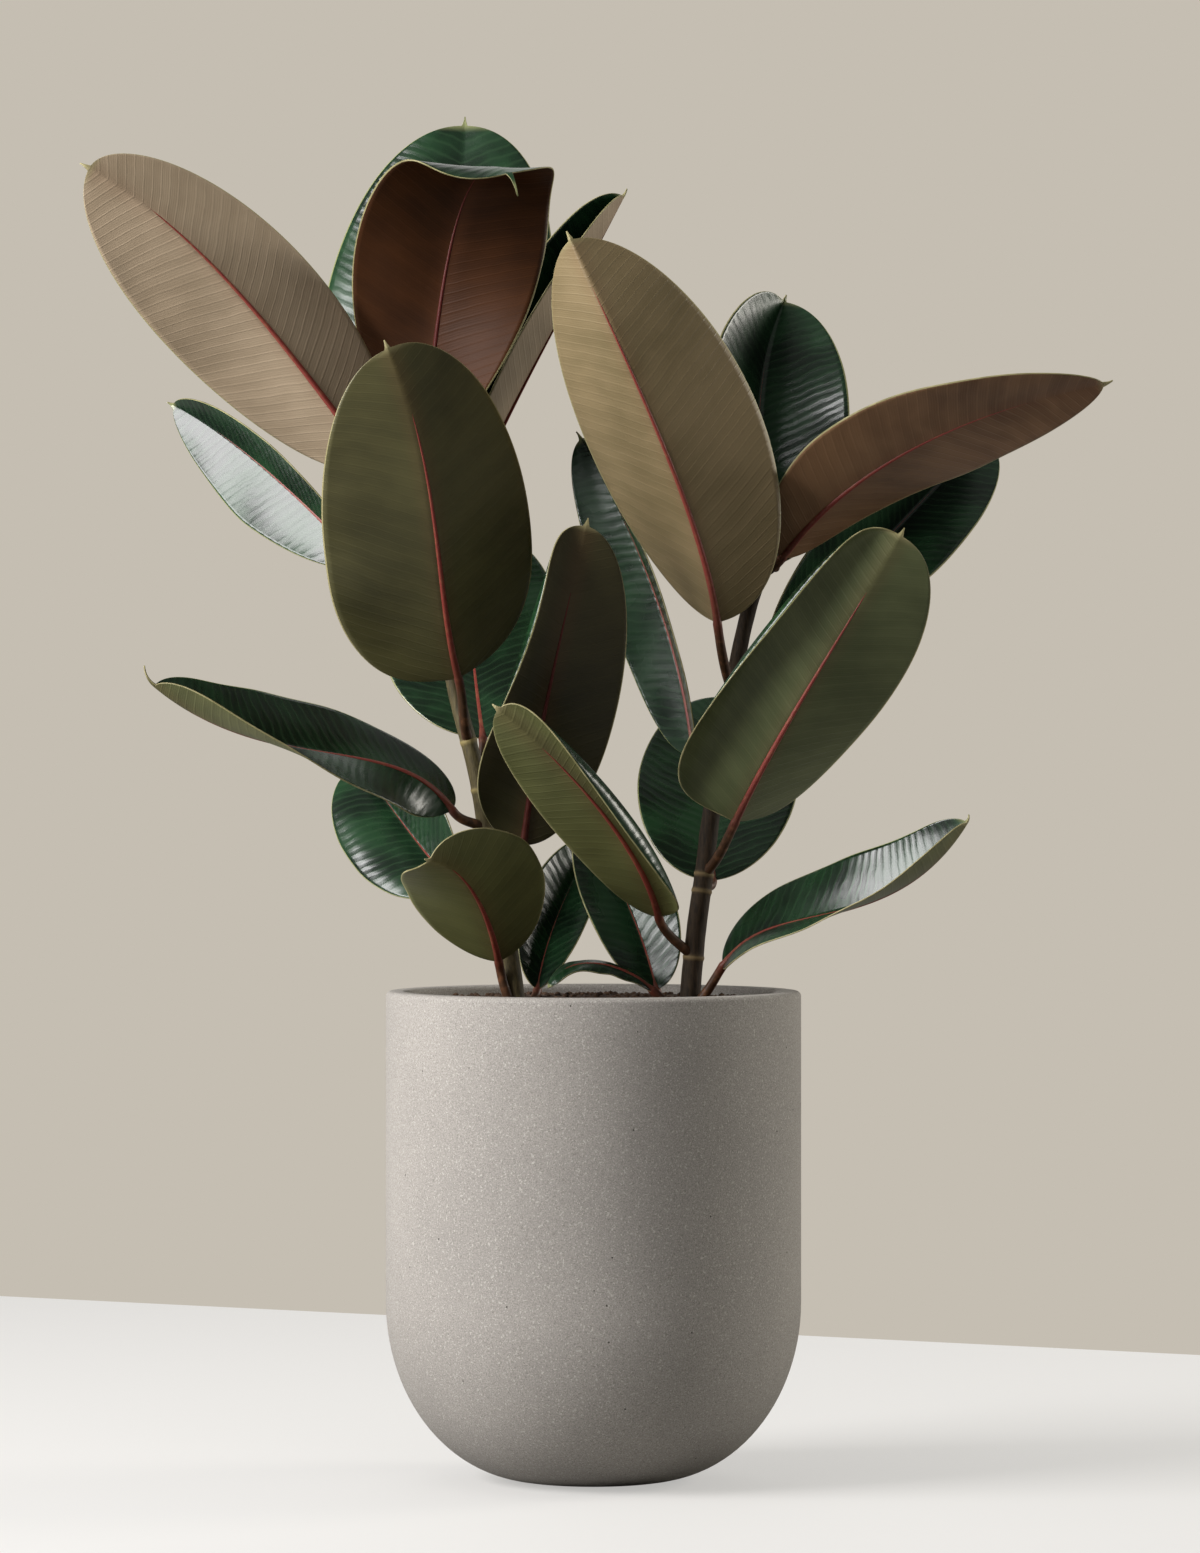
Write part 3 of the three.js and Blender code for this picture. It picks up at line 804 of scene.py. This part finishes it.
@dataclass
class StemShape:
    """A woody stem with a ring at every node and a pointed bud on top."""

    side: Side
    radii: Pair
    path: tuple[Point, ...]
    level: float
    rings: tuple[float, ...] = ()
    buried: float = 30 * MM
    bud_length: float = 24 * MM

    def __post_init__(self) -> None:
        """Lays out the axis from below the soil to the top."""
        above = [Vector(point) * MM + Vector((0, 0, self.level)) for point in self.path]
        self.top = above[-1]
        ends = [above[0] - Vector((0, 0, self.buried)), *above, above[-1] * 2 - above[-2]]
        ends.insert(0, ends[0] * 2 - ends[1])
        points = []
        for p0, p1, p2, p3 in zip(ends, ends[1:], ends[2:], ends[3:]):
            for i in range(24):
                t = i / 24
                points.append(
                    ((p1 * 2) + (p2 - p0) * t + (p0 * 2 - p1 * 5 + p2 * 4 - p3) * t**2
                     + (p1 * 3 - p0 - p2 * 3 + p3) * t**3) / 2
                )
        self.axis = Track([*points, self.top])

    def joint(self, height: float) -> Vector:
        """The point on the axis at a height above the soil, in millimetres."""
        level = self.level + height * MM
        return next((point for point in self.axis.points if point.z >= level), self.top)

    def ring_at(self, along: float) -> float:
        """How much of a node ring there is at a share of the length, from 0 to 1."""
        height = self.axis.at(along).z - self.level
        offsets = ((height - ring * MM) / (1.1 * MM) for ring in self.rings)
        return max((math.exp(-(offset**2)) for offset in offsets), default=0.0)

    def build_stem(self, palette: Palette) -> bpy.types.Object:
        """The stem with its rings."""

        def place(along: float, angle: float) -> Vector:
            """A point on the bark."""
            tangent = self.axis.tangent(along)
            right = tangent.cross(Vector((0, 1, 0))).normalized()
            back = right.cross(tangent)
            radius = (self.radii[0] + (self.radii[1] - self.radii[0]) * along) * MM
            rough = noise.noise(Vector((math.cos(angle), math.sin(angle), along * 30)))
            grow = 1 + 0.10 * self.ring_at(along) + 0.03 * rough
            return self.axis.at(along) + right_hand(right, back, angle) * radius * grow

        shape = tube(260, 20, place, {"ring": self.ring_at})
        node = self.side.value
        return shown_piece(f"{node}_bark", shape, node, [palette.bark[self.side]])

    def build_bud(self, palette: Palette) -> bpy.types.Object:
        """The pointed sheath of the next leaf, on top of the stem."""
        lean = self.axis.tangent(0.99)
        start = self.top - lean * 3 * MM
        sideways = lean.cross(Vector((0, 1, 0))).normalized()
        back = sideways.cross(lean)

        def place(along: float, angle: float) -> Vector:
            """A point on the sheath."""
            radius = self.radii[1] * 0.9 * MM * (1 - along) ** 0.7 * (1 + 0.25 * math.sin(math.pi * along))
            bend = sideways * (3 * MM * along**2)
            turn = right_hand(sideways, back, angle)
            return start + lean * along * self.bud_length + bend + turn * max(radius, 0.05 * MM)

        shape = tube(28, 14, place, {})
        return shown_piece(f"{self.side.value}_bud", shape, None, [palette.sheath])

    def build(self, palette: Palette) -> None:
        """Builds the stem and its bud."""
        self.build_stem(palette)
        self.build_bud(palette)


def right_hand(first: Vector, second: Vector, angle: float) -> Vector:
    """The unit direction at an angle between two directions."""
    return first * math.cos(angle) + second * math.sin(angle)


# ---- Leaves ---------------------------------------------------------------------------------


@dataclass
class Leaf:
    """One leaf: a curved blade with a raised midrib that runs on into its petiole.

    The bends are in degrees, for the left and the right half of the blade.
    """

    name: str
    side: Side
    node: float
    midrib: tuple[Point, ...]
    face: tuple[Point, Point]
    width: float
    fold: Pair
    curl: Pair = (0, 0)
    roll: Pair = (0, 0)
    tip_fold: Pair | None = None
    tip_curl: Pair | None = None
    tip_roll: Pair | None = None
    belly: float = 0.95
    fullness: float = 2.0
    tone: Tone = Tone.OLIVE
    hook: float = 40
    ripple: float = 1.2
    thickness: float = 0.8 * MM
    petiole: float = 2.6
    rows: int = 76
    columns: int = 32
    drip_start: float = 0.975
    drip_rows: int = 8

    def prepare(self, level: float) -> None:
        """Lays out the midrib above the soil's level."""
        lift = Vector((0, 0, level))
        self.curve = four_point_track([Vector(point) * MM + lift for point in self.midrib])
        self.seed = sum(ord(letter) * (i + 1) for i, letter in enumerate(self.name)) % 97

    def bend(self, base: Pair, tip: Pair | None, index: int, t: float) -> float:
        """A bend at t along the blade, which may change from the base to the tip."""
        end = tip or base
        return base[index] + (end[index] - base[index]) * t

    def outline(self, t: float) -> float:
        """The share of the full half width at t: an oval, then the drip tip."""
        along = abs(2 * min(1.0, t / self.drip_start) ** self.belly - 1)
        return max(0.0, 1 - along**self.fullness) ** (1 / self.fullness)

    def half_width(self, t: float) -> float:
        """Half the blade's width at t, in metres."""
        least = self.petiole + (0.35 - self.petiole) * t
        swell = min(1.0, max(0.0, (t - self.drip_start + 0.05) / 0.05))
        taper = max(0.0, min(1.0, (1 - t) / (1 - self.drip_start)))
        beak = 0.35 + 1.6 * swell * taper**1.6
        return max(least, beak, self.width / 2 * self.outline(t)) * MM

    def frame_at(self, t: float) -> tuple[Vector, Vector, Vector]:
        """The centre, the right and the glossy side's direction at t."""
        base, tip = (Vector(face).normalized() for face in self.face)
        tangent = self.curve.tangent(t)
        up = base.lerp(tip, t)
        up = (up - tangent * up.dot(tangent)).normalized()
        centre = self.curve.at(t)
        past = max(0.0, (t - self.drip_start) / (1 - self.drip_start))
        if past:
            reach = self.curve.length * (1 - self.drip_start)
            turn = math.radians(self.hook) * past
            start = self.curve.at(self.drip_start)
            centre = start + (tangent * math.cos(turn / 2) + up * math.sin(turn / 2)) * reach * past
        return centre, tangent.cross(up), up

    def section(self, index: int, t: float) -> list[tuple[float, float, float]]:
        """How far across and raised one half of the blade is, and its arc length.

        Args:
            index: 0 for the left half, 1 for the right.
            t: The share along the blade.

        Returns:
            The offsets at each column from the midrib to the margin.
        """
        fold = self.bend(self.fold, self.tip_fold, index, t)
        curl = self.bend(self.curl, self.tip_curl, index, t)
        roll = self.bend(self.roll, self.tip_roll, index, t)
        half = self.half_width(t)
        reach = half / (self.width / 2 * MM)
        steps = self.columns // 2 * 3
        found = []
        across = raised = 0.0
        for i in range(steps + 1):
            u = i / steps
            angle = math.radians(fold + (curl * u + roll * max(0.0, (u - 0.55) / 0.45)) * reach)
            if i % 3 == 0:
                found.append((across, raised, u * half))
            across += math.cos(angle) * half / steps
            raised += math.sin(angle) * half / steps
        return found

    def waviness(self, u: float, t: float) -> float:
        """The soft unevenness of the blade at a place, in metres."""
        place = Vector((u * 1.2, t * 5 + self.seed, self.seed * 0.37))
        return noise.noise(place) * self.ripple * MM * abs(u) * self.outline(t) * 2

    def row_share(self, y: float) -> float:
        """The share along the blade of a grid row, denser at both ends."""
        split = 1 - self.drip_rows / self.rows
        if y <= split:
            return self.drip_start * (0.5 - 0.5 * math.cos(math.pi * y / split))
        return self.drip_start + (1 - self.drip_start) * (y - split) / (1 - split)

    def build_blade(self, palette: Palette) -> bpy.types.Object:
        """The blade: a grid laid along the midrib and given its thickness."""
        shape = bmesh.new()
        bmesh.ops.create_grid(shape, x_segments=self.columns, y_segments=self.rows, size=1.0)
        lay = shape.loops.layers.uv.new("lay")
        share = shape.loops.layers.uv.new("share")
        rows: dict[int, tuple] = {}
        places: dict[int, tuple[Pair, Pair]] = {}
        for vertex in shape.verts:
            row = round((vertex.co.y + 1) / 2 * self.rows)
            if row not in rows:
                t = self.row_share(row / self.rows)
                rows[row] = (t, self.frame_at(t), self.section(0, t), self.section(1, t))
            t, (centre, right, up), left_half, right_half = rows[row]
            u = vertex.co.x
            half = left_half if u < 0 else right_half
            across, raised, arc = half[round(abs(u) * (self.columns // 2))]
            sign = -1 if u < 0 else 1
            vertex.co = centre + right * (sign * across) + up * (raised + self.waviness(u, t))
            places[vertex.index] = ((sign * arc, t * self.curve.length), (u, t))
        for face in shape.faces:
            for loop in face.loops:
                loop[lay].uv, loop[share].uv = places[loop.vert.index]
        materials = [palette.glossy, palette.undersides[self.tone], palette.rim]
        piece = shown_piece(f"{self.name}_blade", shape, self.name, materials)
        wall = piece.modifiers.new("thickness", "SOLIDIFY")
        wall.thickness = self.thickness
        wall.offset = 0.0
        wall.material_offset = 1
        wall.material_offset_rim = 2
        return piece

    def petiole_track(self, joint: Vector) -> Track:
        """The line from the stem to the start of the midrib."""
        base = self.curve.at(0)
        reach = (joint - base).length * 0.4
        away = self.curve.at(0.05) - joint
        away.z = 0
        away.normalize()
        first = joint + away * reach * 0.8 + Vector((0, 0, reach * 0.5))
        second = base - self.curve.tangent(0) * reach
        points = []
        for i in range(25):
            t = i / 24
            near = joint * (1 - t) ** 3 + first * 3 * t * (1 - t) ** 2
            points.append(near + second * 3 * t * t * (1 - t) + base * t**3)
        return Track(points)

    def build_rib(self, stem: StemShape, palette: Palette) -> bpy.types.Object:
        """The petiole and the midrib that it runs on into, under the blade."""
        petiole = self.petiole_track(stem.joint(self.node))
        split = 0.32
        face = Vector(self.face[0]).normalized()

        def place(along: float, angle: float) -> Vector:
            """A point on the petiole or the midrib."""
            if along < split:
                s = along / split
                centre, tangent = petiole.at(s), petiole.tangent(s)
                up = (face - tangent * face.dot(tangent)).normalized()
                right = tangent.cross(up)
                radius = self.petiole * (1.25 - 0.25 * s) * MM
                swell = 1 + 0.25 * max(0.0, 1 - s / 0.12) + 0.08 * max(0.0, (s - 0.85) / 0.15)
                return centre + right_hand(right, up, angle) * radius * swell
            t = (along - split) / (1 - split)
            centre, right, up = self.frame_at(t * 0.995)
            radius = (self.petiole * (1 - t) ** 1.3 * 0.78 + 0.3) * MM
            flat = max(0.0, 1 - t / 0.05)
            top = radius * (0.30 + 0.70 * flat)
            rise = math.sin(angle)
            lift = rise * (top if rise > 0 else radius * 1.05) + (0.2 * (1 - flat)) * MM
            return centre + right * math.cos(angle) * radius * (1 if flat else 0.96) + up * lift

        shape = tube(120, 14, place, {})
        # Leaves whose underside paints shade get the midrib with painted shade as well.
        material = palette.shaded_rib if self.tone in SHADED_TONES else palette.rib
        return shown_piece(f"{self.name}_rib", shape, None, [material])

    def build(self, stem: StemShape, palette: Palette) -> None:
        """Builds the blade and its rib."""
        self.build_blade(palette)
        self.build_rib(stem, palette)


# The stems and the leaves are laid out from the middle of the soil, in millimetres.
STEM_PATHS = {
    Side.LEFT: (
        (6, 4.2),
        (
            (-47, 0, 0), (-56, 2, 61), (-64, 3, 100), (-71, 4, 139),
            (-84, 7, 190), (-92, 10, 242), (-98, 10, 302),
        ),
    ),
    Side.RIGHT: (
        (6.5, 4.2),
        (
            (58, 0, 0), (62, 0, 43), (67, 2, 79), (71, 4, 112),
            (83, 6, 185), (95, 8, 240), (110, 8, 276),
        ),
    ),
}

LEAVES = [
    Leaf(
        "leaf_left_high", Side.LEFT, 276,
        midrib=((-131, -26, 322), (-177, -44, 382), (-234, -62, 446), (-303, -74, 497)),
        face=((0, 1, 0), (0, 1, 0)),
        width=114, fold=(30, 36), curl=(12, 10), tip_fold=(40, 0), tone=Tone.TAUPE,
    ),
    Leaf(
        "leaf_left_pale", Side.LEFT, 226,
        midrib=((-140, 22, 265), (-177, 52, 302), (-220, 81, 339), (-264, 111, 367)),
        face=((-0.54, -0.8, 0.22), (-0.54, -0.8, 0.22)),
        width=68, fold=(4, 52), curl=(8, 10), fullness=1.6,
    ),
    Leaf(
        "leaf_left_front", Side.LEFT, 156,
        midrib=((-81, -20, 194), (-90, -62, 252), (-99, -98, 318), (-122, -120, 389)),
        face=((0, 1, 0.3), (0, 1, 0.3)),
        width=136, fold=(32, 4), curl=(10, 5), belly=0.74, fullness=2.2, tone=Tone.MOSS, ripple=2.2,
    ),
    Leaf(
        "leaf_left_hooked", Side.LEFT, 292,
        midrib=((-101, 2, 332), (-87, -16, 446), (-68, -40, 494), (-44, -86, 484)),
        face=((0, 1, 0), (-0.35, 0.3, 1)),
        width=112, fold=(-55, 34), curl=(4, 4), belly=1.2, fullness=2.4,
        tip_fold=(2, -8), tone=Tone.UMBER, hook=-70, drip_start=0.93,
    ),
    Leaf(
        "leaf_left_back_top", Side.LEFT, 288,
        midrib=((-94, 50, 322), (-103, 74, 394), (-91, 96, 468), (-80, 118, 545)),
        face=((0, -1, 0.3), (0, -1, 0.3)),
        width=146, fold=(3, 15), curl=(-42, -15),
    ),
    Leaf(
        "leaf_left_gutter", Side.LEFT, 262,
        midrib=((-70, 40, 318), (-44, 50, 372), (-12, 52, 432), (21, 54, 494)),
        face=((-0.3, -1, 0.2), (-0.3, -1, 0.2)),
        width=88, fold=(64, 94), tip_fold=(62, 84), tone=Tone.TAUPE,
    ),
    Leaf(
        "leaf_left_back_mid", Side.LEFT, 127,
        midrib=((-67, 20, 158), (-73, 62, 200), (-75, 104, 246), (-66, 146, 292)),
        face=((0, -1, 0.8), (0, -1, 0.8)),
        width=112, fold=(14, 14), curl=(-20, -20),
    ),
    Leaf(
        "leaf_left_inner", Side.LEFT, 49,
        midrib=((-42, -8, 94), (-32, -34, 158), (-18, -56, 224), (-3, -66, 288)),
        face=((0, 1, 0.2), (0, 1, 0.2)),
        width=88, fold=(12, 6), curl=(8, -40), tip_curl=(8, -190), tone=Tone.SHADE,
    ),
    Leaf(
        "leaf_left_long", Side.LEFT, 102,
        midrib=((-85, -8, 115), (-132, -32, 144), (-198, -64, 157), (-268, -88, 197)),
        face=((0.2, -0.75, 0.7), (0.2, 0, 1)),
        width=78, fold=(-20, -15), tip_fold=(42, 60), drip_start=0.94,
    ),
    Leaf(
        "leaf_left_low_back", Side.LEFT, 62,
        midrib=((-80, 20, 66), (-105, 50, 92), (-127, 82, 119), (-147, 112, 142)),
        face=((0.3, -1, 0.8), (0.3, -1, 0.8)),
        width=86, fold=(5, 84), curl=(-60, 0),
    ),
    Leaf(
        "leaf_left_small", Side.LEFT, -6,
        midrib=((-57, -12, 24), (-66, -50, 56), (-80, -88, 78), (-98, -114, 86)),
        face=((0.2, 1, 1), (0.2, 1, 1)),
        width=88, fold=(36, 6), curl=(5, 5),
    ),
    Leaf(
        "leaf_left_soil", Side.LEFT, -10,
        midrib=((-34, 16, 6), (-27, 40, 36), (-15, 62, 66), (0, 84, 95)),
        face=((0, -1, 0.3), (0, -1, 0.3)),
        width=52, fold=(40, 40),
    ),
    Leaf(
        "leaf_right_front", Side.RIGHT, 186,
        midrib=((74, -28, 227), (54, -62, 298), (20, -86, 378), (-16, -88, 456)),
        face=((0, 1, 0), (0, 1, 0)),
        width=132, fold=(10, 50), curl=(4, 6), tip_fold=(30, 50), tone=Tone.HAZEL,
    ),
    Leaf(
        "leaf_right_back_top", Side.RIGHT, 268,
        midrib=((110, 24, 263), (102, 46, 318), (103, 68, 374), (119, 92, 432)),
        face=((0, -1, 0.3), (0, -1, 0.3)),
        width=120, fold=(50, 22), curl=(5, 5), tip_fold=(60, 22),
    ),
    Leaf(
        "leaf_right_high", Side.RIGHT, 256,
        midrib=((114, 0, 267), (166, -30, 316), (232, -64, 348), (306, -84, 367)),
        face=((-0.3, 0.8, 0.5), (-0.3, 0.8, 0.5)),
        width=102, fold=(24, 6), curl=(5, 0), belly=0.85, fullness=1.6, tip_fold=(10, -26), tone=Tone.RUSSET,
    ),
    Leaf(
        "leaf_right_back_side", Side.RIGHT, 192,
        midrib=((106, 27, 196), (148, 62, 246), (196, 96, 298), (247, 130, 350)),
        face=((-0.2, -1, 0.5), (-0.2, -1, 0.5)),
        width=100, fold=(72, 30), curl=(5, 5), tip_fold=(72, 5),
    ),
    Leaf(
        "leaf_right_olive", Side.RIGHT, 76,
        midrib=((85, -22, 108), (114, -50, 164), (148, -74, 222), (183, -88, 281)),
        face=((0, 1, 0.2), (0, 1, 0.2)),
        width=112, fold=(50, 8), curl=(5, 0), roll=(0, -60), belly=0.68, fullness=2.4,
        tip_fold=(4, 14), tip_roll=(0, -220), tone=Tone.SAGE,
    ),
    Leaf(
        "leaf_right_back_low", Side.RIGHT, 66,
        midrib=((72, 18, 72), (74, 56, 112), (82, 96, 150), (95, 138, 184)),
        face=((0, -1, 0.8), (0, -1, 0.8)),
        width=100, fold=(8, 8), curl=(5, 5),
    ),
    Leaf(
        "leaf_right_narrow", Side.RIGHT, 119,
        midrib=((61, 14, 148), (48, 26, 214), (24, 40, 280), (-10, 55, 346)),
        face=((-0.42, -0.9, 0), (-0.42, -0.9, 0)),
        width=64, fold=(4, 56), curl=(14, 14),
    ),
    Leaf(
        "leaf_right_rolled", Side.RIGHT, 26,
        midrib=((39, -16, 51), (18, -56, 96), (-18, -88, 140), (-59, -106, 177)),
        face=((0, 1, 0.2), (0, 1, 0.2)),
        width=70, fold=(0, 24), curl=(-150, 6),
    ),
    Leaf(
        "leaf_right_soil", Side.RIGHT, -10,
        midrib=((38, 10, 6), (27, 22, 42), (12, 34, 76), (-6, 44, 110)),
        face=((0, -1, 0.3), (0, -1, 0.3)),
        width=62, fold=(32, 32),
    ),
    Leaf(
        "leaf_right_arched", Side.RIGHT, -12,
        midrib=((35, -6, 7), (14, -9, 20), (-10, -12, 22), (-27, -16, 8)),
        face=((0, -0.4, 1), (0, -0.4, 1)),
        width=18, fold=(-10, -10),
    ),
    Leaf(
        "leaf_right_long", Side.RIGHT, -6,
        midrib=((78, -15, 22), (118, -42, 48), (172, -68, 64), (222, -92, 112)),
        face=((-0.4, -0.55, 0.7), (-0.4, -0.25, 0.85)),
        width=70, fold=(0, 15), tip_fold=(60, 38),
    ),
]


# ---- Stage ------------------------------------------------------------------------------------


@dataclass
class Studio:
    """A pale floor, a plain wall colour, soft lights and the camera."""

    wall: Colour = tint(197, 190, 178)
    floor: Colour = tint(150, 149, 147)
    glow: Colour = (1.0, 0.985, 0.955)
    floor_bounce: Colour = tint(150, 149, 146)
    floor_edge: tuple[Pair, Pair] = ((-0.485, 1.259), (0.443, 0.765))
    eye: Point = (0.0039, -3.580, 0.423)
    lens: float = 137.77

    def build_floor(self) -> None:
        """The floor: a broad sheet whose far edge runs at a slant behind the pot."""
        shape = bmesh.new()
        bmesh.ops.create_grid(shape, x_segments=1, y_segments=1, size=1.0)
        (x0, y0), (x1, y1) = self.floor_edge
        run = Vector((x1 - x0, y1 - y0, 0)).normalized()
        back = Vector(((x0 + x1) / 2, (y0 + y1) / 2, 0))
        near = run.cross(Vector((0, 0, 1)))
        for vertex in shape.verts:
            vertex.co = back + run * vertex.co.x * 6 + near * (0 if vertex.co.y > 0 else 8)
        bmesh.ops.recalc_face_normals(shape, faces=shape.faces)
        mesh = bpy.data.meshes.new("floor")
        shape.to_mesh(mesh)
        shape.free()
        if mesh.polygons[0].normal.z < 0:
            mesh.flip_normals()
        floor = bpy.data.objects.new("floor", mesh)
        bpy.context.scene.collection.objects.link(floor)
        material = bpy.data.materials.new("pale_floor")
        material.use_nodes = True
        shader = material.node_tree.nodes["Principled BSDF"]
        graph = Graph(material.node_tree)
        seen = graph.add("ShaderNodeLightPath").outputs["Is Camera Ray"]
        graph.feed(shader.inputs["Base Color"], graph.blend(seen, self.floor_bounce, self.floor))
        graph.feed(shader.inputs["Emission Color"], self.glow)
        graph.feed(shader.inputs["Emission Strength"], graph.math("MULTIPLY", seen, 0.46))
        shader.inputs["Roughness"].default_value = 0.7
        mesh.materials.append(material)

    def build_world(self) -> None:
        """The wall's colour for the camera, and a soft neutral light for everything else."""
        world = bpy.data.worlds.new("studio")
        bpy.context.scene.world = world
        world.use_nodes = True
        graph = Graph(world.node_tree)
        world.node_tree.nodes.clear()
        seen = graph.add("ShaderNodeBackground")
        seen.inputs["Color"].default_value = (*self.wall, 1.0)
        soft = graph.add("ShaderNodeBackground")
        soft.inputs["Color"].default_value = (1.0, 0.98, 0.95, 1.0)
        path = graph.add("ShaderNodeLightPath").outputs
        graph.feed(soft.inputs["Strength"], graph.math("MULTIPLY_ADD", path["Is Glossy Ray"], 0.08, 0.16))
        choose = graph.add("ShaderNodeMixShader")
        graph.feed(choose.inputs[0], path["Is Camera Ray"])
        graph.feed(choose.inputs[1], soft.outputs[0])
        graph.feed(choose.inputs[2], seen.outputs[0])
        graph.feed(graph.add("ShaderNodeOutputWorld").inputs[0], choose.outputs[0])

    @staticmethod
    def add_light(
        name: str, place: Point, size: float, power: float, colour: Colour, mirrored: bool = True
    ) -> None:
        """Adds a square soft light that looks at the plant, and may show in reflections."""
        data = bpy.data.lights.new(name, "AREA")
        data.size = size
        data.energy = power
        data.color = colour
        light = bpy.data.objects.new(name, data)
        light.location = place
        light.visible_glossy = mirrored
        aim = Vector((0, 0, 0.42)) - Vector(place)
        light.rotation_euler = aim.to_track_quat("-Z", "Y").to_euler()
        bpy.context.scene.collection.objects.link(light)

    def build_camera(self) -> None:
        """The camera, level and at eye height of the plant."""
        data = bpy.data.cameras.new("camera")
        data.lens = self.lens
        data.sensor_width = 36
        data.clip_end = 50
        camera = bpy.data.objects.new("camera", data)
        camera.location = self.eye
        camera.rotation_euler = (math.radians(90), 0, 0)
        bpy.context.scene.collection.objects.link(camera)
        bpy.context.scene.camera = camera

    def build(self) -> None:
        """Sets the whole stage."""
        self.build_floor()
        self.build_world()
        self.add_light("key", (-2.2, -1.0, 1.4), 1.5, 118, (1.0, 0.985, 0.99))
        self.add_light("back", (0.1, 2.3, 2.2), 1.6, 5, (1.0, 0.99, 0.97))
        self.add_light("fill", (2.3, 0.7, 1.1), 1.0, 34, (1.0, 0.96, 0.88))
        self.add_light("top", (-0.5, -0.3, 2.6), 1.6, 16, (1.0, 0.99, 0.97), mirrored=False)
        self.build_camera()
        bpy.context.scene.view_settings.view_transform = "Standard"


def main() -> None:
    """Builds the plant piece by piece around the frame."""
    logging.basicConfig(level=logging.INFO, format="%(message)s")
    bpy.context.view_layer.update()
    palette = Palette()
    Studio().build()
    pot = Pot()
    pot.build(palette)
    SoilBed().build(palette)
    level = pot.height - 6 * MM
    stems = {}
    for side, (radii, path) in STEM_PATHS.items():
        nodes = tuple(leaf.node for leaf in LEAVES if leaf.side is side and leaf.node > 0)
        stems[side] = StemShape(side, radii, path, level, nodes)
        stems[side].build(palette)
    for leaf in LEAVES:
        leaf.prepare(level)
        leaf.build(stems[leaf.side], palette)


if __name__ == "__main__":
    main()
